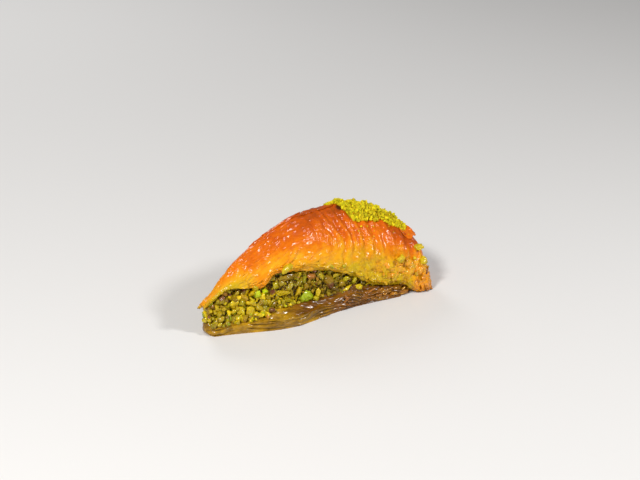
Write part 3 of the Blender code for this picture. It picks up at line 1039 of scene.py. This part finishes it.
def placeShownNuts(taken):
    # the larger pieces that stand out on the front cut:
    # place along and up the cut, size in mm, turn about the line of sight in degrees, colour, how far out in mm
    shown = (
        (0.398, 0.68, (13.0, 3.4, 5.4), -4, "olive", 0.4),
        (0.458, 0.14, (8.6, 4.5, 6.6), -28, "brightGreen", 1.4),
        (0.510, 0.17, (3.6, 2.6, 6.6), 18, "yellow", 1.8),
        (0.347, 0.40, (7.4, 4.6, 6.0), 20, "yellowGreen", 2.2),
        (0.378, 0.98, (11.0, 5.4, 7.0), -4, "yellowGreen", 4.2),
        (0.372, 0.97, (3.4, 3.0, 3.2), 0, "yellow", 1.9),
        (0.568, 0.96, (6.4, 4.6, 5.0), 10, "green", 2.6),
        (0.600, 0.64, (6.8, 3.6, 4.2), -30, "yellowGreen", 0.6),
        (0.637, 0.50, (5.0, 3.8, 4.4), 0, "green", 0.6),
        (0.677, 0.46, (4.6, 3.6, 6.0), 12, "green", 0.8),
        (0.642, 0.12, (6.2, 3.6, 3.6), -25, "yellowGreen", 1.0),
        (0.693, 0.10, (6.6, 3.6, 3.8), 15, "yellowGreen", 1.0),
        (0.500, 0.02, (4.8, 4.0, 4.0), 0, "green", 1.6),
        (0.378, 0.15, (6.2, 3.6, 4.0), 35, "green", 0.9),
        (0.325, 0.61, (5.0, 4.0, 7.4), 18, "green", 1.8),
        (0.492, 0.62, (4.4, 3.4, 5.6), -20, "rust", 0.4),
        (0.128, 0.50, (6.6, 4.2, 5.4), -20, "yellowGreen", 1.0),
        (0.180, 0.58, (4.0, 3.4, 5.8), 12, "yellowGreen", 0.8),
        (0.210, 0.40, (4.4, 3.8, 4.2), 0, "yellowGreen", 0.8),
        (0.120, 0.24, (5.4, 3.8, 4.4), 25, "yellowGreen", 0.9),
        (0.258, 0.68, (3.4, 3.0, 3.4), 0, "skin", 0.2),
        (0.258, 0.35, (5.6, 3.6, 4.0), -30, "olive", 0.8),
        (0.070, 0.60, (4.0, 3.2, 3.6), 0, "olive", 0.4),
        (0.745, 0.30, (5.2, 3.6, 3.6), -15, "yellowGreen", 0.6),
    )
    placings = []
    for k, (x, height, size, turn, colour, out) in enumerate(shown):
        point = fillingPoint(x, -1, min(height, 1.0))
        taken.append((point, 0.8 * max(size) * mm))
        facing = Euler((0, math.radians(turn), math.radians(8 * (k % 5) - 16))).to_quaternion()
        size = Vector(size) * mm * 1.12
        placings.append((k % 10, point + Vector((0, -out * mm, 0)), facing, size, nuts[colour]))
    return placings


def scatterOnLip(chance, side, count, shapeCount):
    # nuts that have slid on to the bottom leaves' lip, most of them near the tip
    placings = []
    for k in range(count):
        share = 0.02 + 0.22 * chance.random() ** 1.3 if k % 2 else chance.uniform(0.2, 0.70)
        full = bottomHalfWidth(share, side)
        recess = fillingRecess(share, side)
        inset = chance.uniform(0.15, 1.0) * recess if share < 0.25 else chance.uniform(0.7, 1.0) * recess
        y = side * (full - inset)
        size = chance.uniform(2.2, 4.4) * mm if share < 0.25 else chance.uniform(1.2, 2.6) * mm
        z = bottomHeight(share, y) + 0.35 * size
        place = Vector((bottomX(share, y / full), y, z))
        tint = pickTint(chance, share, 0.2, 0.0)
        placings.append((chance.randrange(shapeCount), place, randomTurn(chance), Vector((size,) * 3), tint))
    return placings


def makeFilling():
    makeFillingCore(makePasteMaterial())
    material = makeNutMaterial()
    shown = makeChunks(10, 4, nuts["seed"] + 40)
    large = makeChunks(12, 3, nuts["seed"])
    small = makeChunks(10, 2, nuts["seed"] + 20)
    for side, name in ((-1, "front"), (1, "back")):
        chance = random.Random(nuts["seed"] + side)
        taken = []
        bm = bmesh.new()
        if side < 0:
            joinCopies(bm, placeShownNuts(taken), shown)
        largeNuts = scatterOnCut(chance, side, 130, (5.8, 9.2), (-1.8, 0.2), 0.27, 12, 0.0, taken)
        joinCopies(bm, largeNuts, large, nuts["skin"])
        mediumNuts = scatterOnCut(chance, side, 200, (3.0, 4.8), (-1.2, 0.3), 0.24, 10, 0.10, taken)
        joinCopies(bm, mediumNuts, small, nuts["skin"])
        tipNuts = scatterOnCut(chance, side, 60, (4.0, 6.6), (0.4, 2.0), 0.24, 12, 0.0, [], 0.30)
        joinCopies(bm, tipNuts, large, nuts["skin"])
        joinCopies(bm, scatterOnLip(chance, side, 140, 10), small, nuts["skin"])
        addPiece(bm, name + "Nuts", material, 60)
        bm = bmesh.new()
        # the crumbs sit deep between the larger nuts and get the most painted shade
        crumbs = scatterOnCut(chance, side, 650, (1.2, 2.6), (-1.4, -0.1), 0.18, 10, 0.35, taken)
        crumbs += scatterOnCut(chance, side, 650, (0.8, 1.8), (-0.4, 0.9), 0.10, 10, 0.10, [])
        joinCopies(bm, crumbs, small)
        addPiece(bm, name + "NutCrumbs", material, 50)
    dropShapes(shown + large + small)


# Ground nuts on the crest.
dust = {
    "grains": 1800,
    "seed": 17,
    "first": 0.538,
    "reach": 0.292,
    "depth": 1.7 * mm,
    "rimHeap": 0.9,
    "pale": (0.76, 0.62, 0.008),
    "green": (0.50, 0.46, 0.003),
    "gold": (0.66, 0.36, 0.004),
}


def dustPlace(x, side):
    # where the strewn band lies: x from its tip end to its rim end, side from -1 to 1
    front = 0.06 - 0.42 * ramp(x, 0.08, 0.18) + 0.08 * ramp(x, 0.25, 0.75) + 0.20 * ramp(x, 0.84, 1.0)
    back = 0.13 + 0.20 * math.sin(math.pi * min(max(x, 0.0), 1.0))
    along = dust["first"] + dust["reach"] * x
    return along, (front + back) / 2 + side * (back - front) / 2


def dustBase(x, side):
    along, across = dustPlace(x, side)
    column = crustColumn(along)
    base = crustPoint(column, across)
    normal = crustNormal(along, across)
    return base + normal * crustFolds(column["share"], across, base), normal


def dustHeap(x, side, point):
    heap = math.sqrt(max(1 - side**2, 0.0) * max(1 - (2 * x - 1) ** 4, 0.0))
    heap *= 1 + dust["rimHeap"] * ramp(x, 0.30, 0.60)
    clumps = 0.65 + 1.1 * lumps(point, 4 * mm, 9.0) + 0.7 * lumps(point, 2.2 * mm, 10.0)
    return dust["depth"] * heap * max(clumps, 0.12)


def makeDust():
    material, tree, shader = newMaterial("groundPistachio", 0.75, 0.0, 0.2, 0.10)
    tree.links.new(attribute(tree, "tint", "Color"), shader.inputs["Base Color"])

    bedMaterial, tree, shader = newMaterial("groundPistachioBed", 0.85, 0.0, 0.2)
    colour = mixColours(tree, mottle(tree, 0.9, 0.35, 0.65), dust["green"], dust["gold"])
    tree.links.new(colour, shader.inputs["Base Color"])
    addBump(tree, shader, mottle(tree, 0.7, 0.3, 0.7), 0.4 * mm, 1.0)

    def place(x, y, z):
        side = (2 * y - 1) * 0.86
        base, normal = dustBase(0.02 + 0.96 * x, side)
        grain = 0.35 * mm * lumps(base, 1.1 * mm, 61.0)
        return base + normal * (-0.6 * mm + z * (0.6 * mm + 0.8 * dustHeap(x, side, base) + grain))

    core = addPiece(shapedBlock((90, 34, 1), place), "groundNutBed", bedMaterial)
    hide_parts("ground_pistachio")

    chance = random.Random(dust["seed"])
    shapes = makeChunks(8, 2, dust["seed"])
    placings = []
    for grain in range(dust["grains"]):
        x = chance.uniform(0.0, 1.0)
        side = chance.uniform(-1, 1)
        stray = chance.random() < 0.04
        if stray:
            side *= 1.5
        base, normal = dustBase(x, side)
        size = chance.uniform(0.9, 2.6) * mm * (0.6 if stray else 1.0)
        top = 0.8 * dustHeap(x, side, base) + chance.uniform(0.1, 0.6) * mm
        if stray:
            top = 0.35 * size
        colour = blendColours(dust["green"], dust["pale"], chance.random())
        colour = blendColours(colour, dust["gold"], 0.5 * chance.random() ** 2)
        shade = chance.uniform(0.72, 1.28)
        colour = tuple(channel * shade for channel in colour)
        turn = randomTurn(chance)
        placings.append((chance.randrange(8), base + normal * top, turn, Vector((size,) * 3), colour))
    bm = bmesh.new()
    joinCopies(bm, placings, shapes)
    addPiece(bm, "groundNutGrains", material)
    dropShapes(shapes)


# What clings to the crust: a few nuts and the crumbs of the soaked corners.
clinging = {"crumbs": 70, "seed": 29}


def makeClinging(material):
    # along, across, size in mm, colour, height above the crust in mm
    placed = (
        (0.728, -0.77, (7.0, 6.2, 6.2), "yellow", 1.4),
        (0.814, -0.55, (6.8, 6.2, 6.6), "yellowGreen", 1.1),
        (0.832, -0.73, (6.6, 5.8, 6.2), "yellowGreen", 0.8),
        (0.846, -0.86, (4.4, 2.8, 2.8), "skin", 0.3),
        (0.792, -0.72, (2.8, 2.4, 2.4), "yellow", 0.8),
        (0.515, -0.92, (3.0, 2.4, 2.4), "green", 0.6),
        (0.823, -0.14, (3.6, 2.6, 2.4), "brightGreen", 0.9),
        (0.800, 0.66, (4.8, 3.6, 3.6), "yellowGreen", 0.8),
        (0.880, 0.20, (4.2, 3.2, 3.0), "yellowGreen", 0.7),
        (0.860, -0.35, (3.6, 2.8, 2.8), "green", 0.7),
        (0.920, 0.55, (3.8, 3.0, 3.0), "yellowGreen", 0.7),
    )
    chance = random.Random(clinging["seed"])
    shapes = makeChunks(8, 3, clinging["seed"], (0.75, 0.90), (0.20, 0.34))
    placings = []
    for k, (along, across, size, colour, rise) in enumerate(placed):
        column = crustColumn(along)
        point = crustPoint(column, across) + crustNormal(along, across) * rise * mm
        placings.append((k % 8, point, randomTurn(chance), Vector(size) * mm, nuts[colour]))
    bm = bmesh.new()
    joinCopies(bm, placings, shapes)
    addPiece(bm, "clingingNuts", material, 45)
    dropShapes(shapes)

    shapes = makeChunks(8, 2, clinging["seed"] + 3)
    placings = []
    while len(placings) < clinging["crumbs"]:
        along = chance.uniform(0.55, 0.99)
        across = chance.uniform(-1, 1)
        column = crustColumn(along)
        share = column["share"]
        wanted = max(
            hump(share, 0.80, 0.10) * ramp(-across, 0.68, 0.97),
            hump(share, 0.82, 0.10) * ramp(across, 0.70, 0.97),
            0.15 * ramp(share, 0.95, 1.0),
        )
        if chance.random() > wanted:
            continue
        size = chance.uniform(1.0, 3.6) * mm
        point = crustPoint(column, across) + crustNormal(along, across) * 0.06 * size
        colour = blendColours(crust["soaked"], crust["gold"], chance.random())
        colour = blendColours(colour, nuts["olive"], 0.3 * chance.random())
        placings.append((chance.randrange(8), point, randomTurn(chance), Vector((size,) * 3), colour))
    bm = bmesh.new()
    joinCopies(bm, placings, shapes)
    addPiece(bm, "crustCrumbs", material, 45)
    dropShapes(shapes)


# Floor, lights and camera.
studio = {
    "floorColour": (0.74, 0.73, 0.72),
    "cameraPlace": (-0.41931, -0.58142, 0.34403),
    "cameraTurn": (66.686, 0.0, -36.3),
    "lens": 85.0,
    "worldStrength": 0.20,
}


def addSoftLight(name, place, aim, size, power, colour=(1.0, 1.0, 1.0)):
    data = bpy.data.lights.new(name, "AREA")
    data.shape = "DISK"
    data.size = size
    data.energy = power
    data.color = colour
    light = bpy.data.objects.new(name, data)
    light.location = place
    light.rotation_euler = (Vector(aim) - Vector(place)).to_track_quat("-Z", "Y").to_euler()
    sheetCollection.objects.link(light)


def makeStudio():
    bm = bmesh.new()
    bmesh.ops.create_grid(bm, x_segments=1, y_segments=1, size=3.0)
    mesh = bpy.data.meshes.new("floor")
    bm.to_mesh(mesh)
    bm.free()
    material, tree, shader = newMaterial("paleFloor", 0.6, 0.0, 0.2)
    shader.inputs["Base Color"].default_value = (*studio["floorColour"], 1.0)
    mesh.materials.append(material)
    floor = bpy.data.objects.new("floor", mesh)
    sheetCollection.objects.link(floor)

    forward, right = Vector((0.592, 0.806, 0.0)), Vector((0.806, -0.592, 0.0))
    up, middle = Vector((0, 0, 1)), Vector((0, 0, 0.025))
    addSoftLight("keyLight", -0.35 * right - 0.60 * forward + 0.70 * up, middle, 0.18, 7.0, (1.0, 0.98, 0.95))
    addSoftLight("backLight", -0.40 * right + 0.75 * forward + 0.55 * up, middle, 0.40, 2.4)
    addSoftLight("sideLight", 0.72 * right - 0.32 * forward + 0.62 * up, middle, 0.16, 4.8)

    world = bpy.data.worlds.new("softRoom")
    world.use_nodes = True
    background = world.node_tree.nodes["Background"]
    background.inputs["Color"].default_value = (1.0, 1.0, 1.0, 1.0)
    background.inputs["Strength"].default_value = studio["worldStrength"]
    bpy.context.scene.world = world
    bpy.context.scene.view_settings.view_transform = "Standard"

    lens = bpy.data.cameras.new("camera")
    lens.lens = studio["lens"]
    lens.sensor_width = 36.0
    lens.clip_start = 0.01
    camera = bpy.data.objects.new("camera", lens)
    camera.location = studio["cameraPlace"]
    camera.rotation_euler = [math.radians(angle) for angle in studio["cameraTurn"]]
    sheetCollection.objects.link(camera)
    bpy.context.scene.camera = camera


print("camera, lights and floor")
makeStudio()
print("crust")
makeCrust()
print("bottom leaves")
makeBottom()
makeShards()
print("filling")
makeFilling()
print("ground nuts")
makeDust()
print("clinging nuts and crumbs")
makeClinging(makeNutMaterial())
